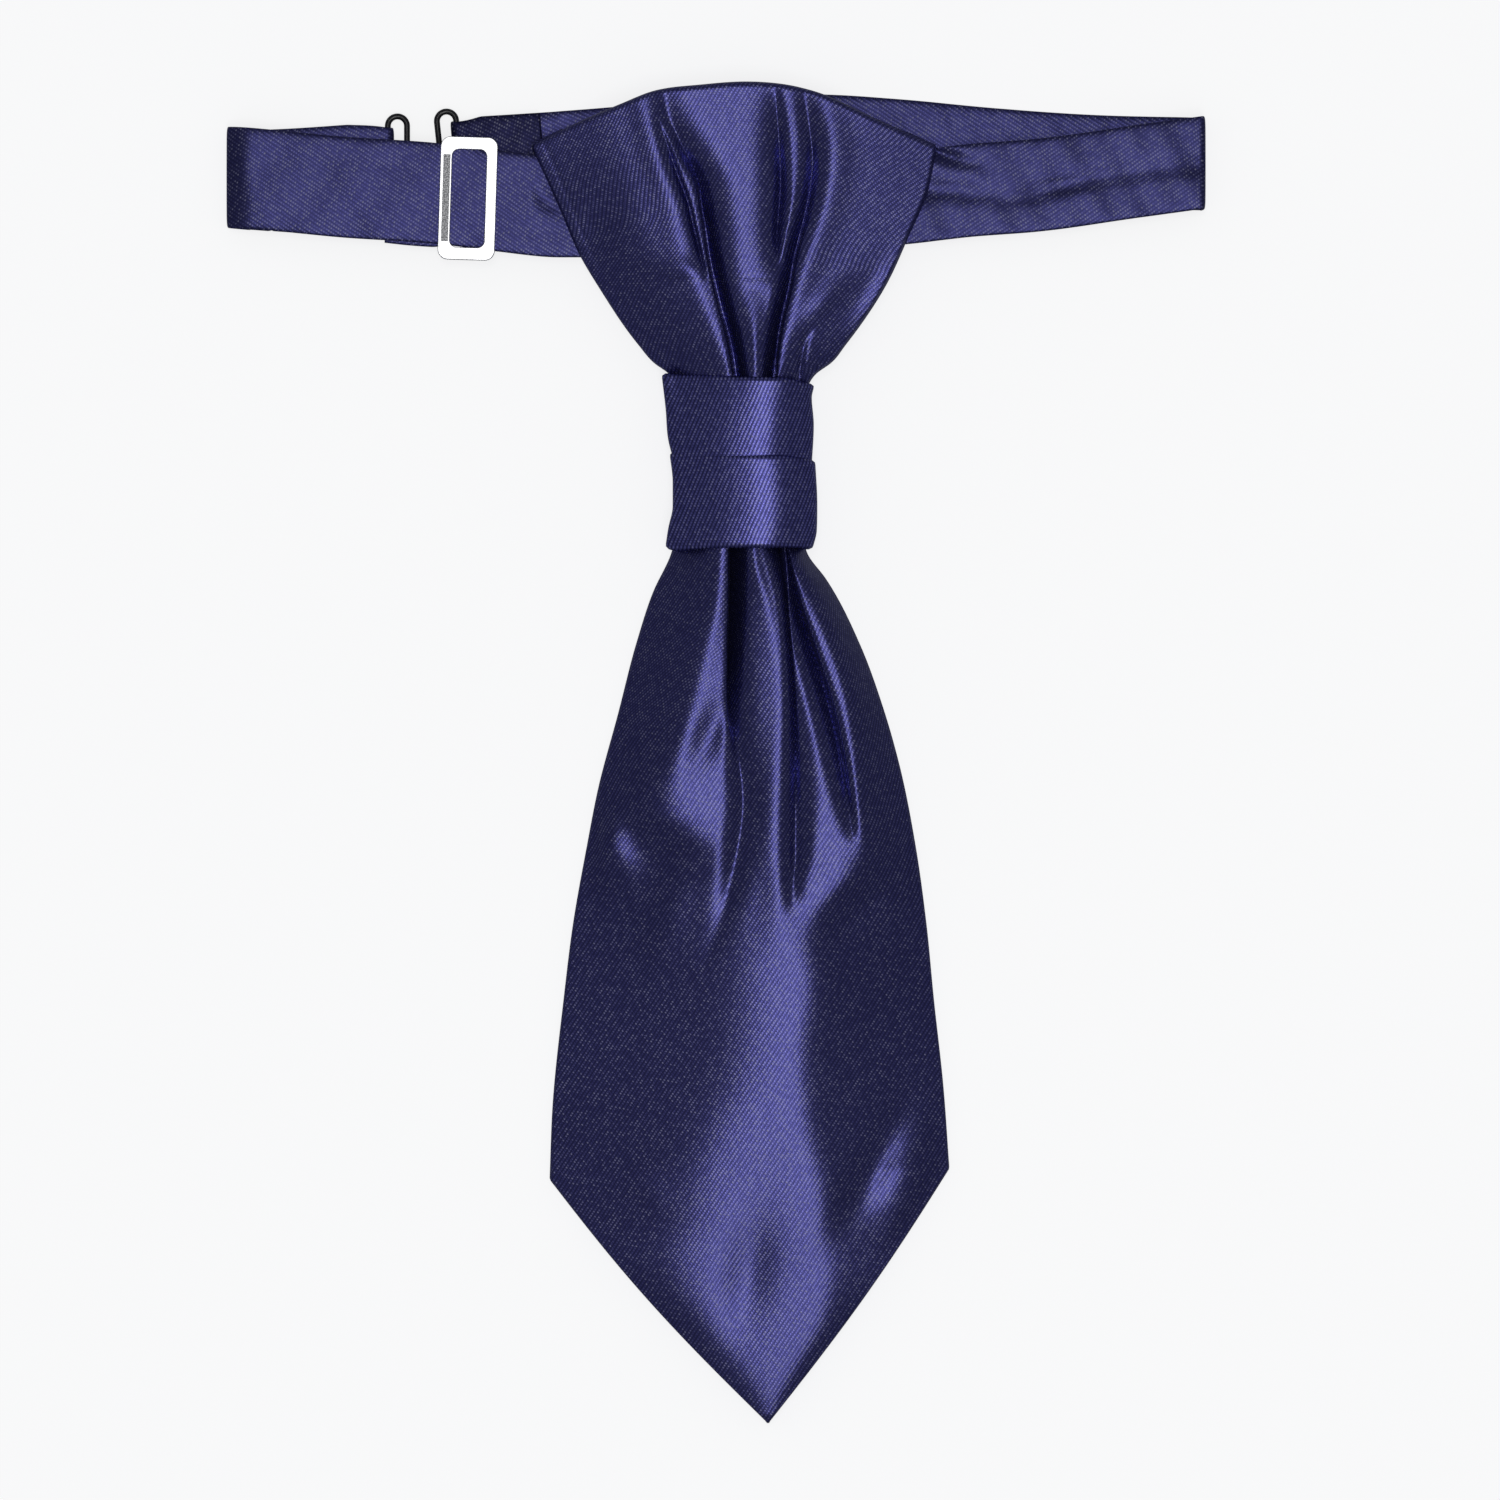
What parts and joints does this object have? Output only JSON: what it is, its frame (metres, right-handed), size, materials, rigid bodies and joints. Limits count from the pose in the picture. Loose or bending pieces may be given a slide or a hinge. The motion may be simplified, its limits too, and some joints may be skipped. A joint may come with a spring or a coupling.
{
  "type": "pre-tied necktie",
  "caption": "Wide pre-tied necktie in satin: pleated fan over a padded knot band, a broad pointed blade, and a folded neck strap with a slider and a hook-and-eye clasp.",
  "frame": {"origin": "under the middle of the knot, on the flat back of the knot band, which is on the surface that the tie lies on", "axes": "+Y from the knot towards the neck strap, +X to the right as the tie is seen from its front, +Z out of the front"},
  "size_m": [0.196, 0.2684, 0.014],
  "materials": {
    "satin": "navy twill satin with a soft sheen",
    "strap_satin": "navy twill satin, pressed flat",
    "lining": "navy lining, smooth",
    "interlining": "off-white wool interlining",
    "tape": "off-white woven stiffening tape",
    "thread": "navy sewing thread",
    "binding_thread": "off-white binding thread",
    "nickel": "bright nickel plate",
    "black_lacquer": "glossy black lacquer on steel"
  },
  "bodies": {
    "cravat": {"front_strap": "strap_satin", "front_strap_tape": "tape", "inner_strap_front": "strap_satin", "left_fold": "strap_satin", "left_inner_fold": "strap_satin", "right_fold": "strap_satin", "fan_front": "satin", "fan_interlining": "interlining", "fan_back": "lining", "casing_stitches": "thread", "gathered_neck": "satin", "neck_binding": "binding_thread", "knot_band_upper": "satin", "knot_band_lower": "satin", "knot_seam_stitches": "thread"},
    "blade": {"blade_front": "satin", "blade_interlining": "interlining", "blade_lining": "lining", "blade_lining_stitches": "thread"},
    "slider": {"slider": "nickel", "slider_strap_end": "strap_satin", "slider_stitches": "thread"},
    "left_back": {"left_back_strap": "strap_satin", "left_back_strap_tape": "tape"},
    "eye": {"eye": "black_lacquer"},
    "right_back": {"right_back_strap": "strap_satin", "right_back_strap_tape": "tape", "hook_stitches": "thread"},
    "hook": {"hook": "black_lacquer"}
  },
  "joints": [
    {"name": "blade_lift", "type": "hinge", "parent": "cravat", "child": "blade", "pos_m": [0, -0.0178, 0.013], "axis": [-1, 0, 0], "range_deg": [0, 60]},
    {"name": "slider_slide", "type": "slide", "parent": "cravat", "child": "slider", "axis": [-0.9962, 0.0872, 0], "range_m": [-0.006, 0.025], "deforming": ["inner_strap_front"]},
    {"name": "left_strap_open", "type": "hinge", "parent": "cravat", "child": "left_back", "pos_m": [-0.1002, 0.05662, 0.0028], "axis": [0, 1, 0], "range_deg": [0, 170], "deforming": ["left_fold", "left_inner_fold"]},
    {"name": "eye_swing", "type": "hinge", "parent": "left_back", "child": "eye", "pos_m": [-0.0708, 0.05867, 0.00125], "axis": [0, 1, 0], "range_deg": [0, 75]},
    {"name": "right_strap_open", "type": "hinge", "parent": "cravat", "child": "right_back", "pos_m": [0.0902, 0.05932, 0.0028], "axis": [0, -1, 0], "range_deg": [0, 170], "deforming": ["right_fold"]},
    {"name": "hook_swing", "type": "hinge", "parent": "right_back", "child": "hook", "pos_m": [-0.0562, 0.0599, 0.00125], "axis": [0.1045, -0.9945, 0], "range_deg": [0, 75]}
  ]
}
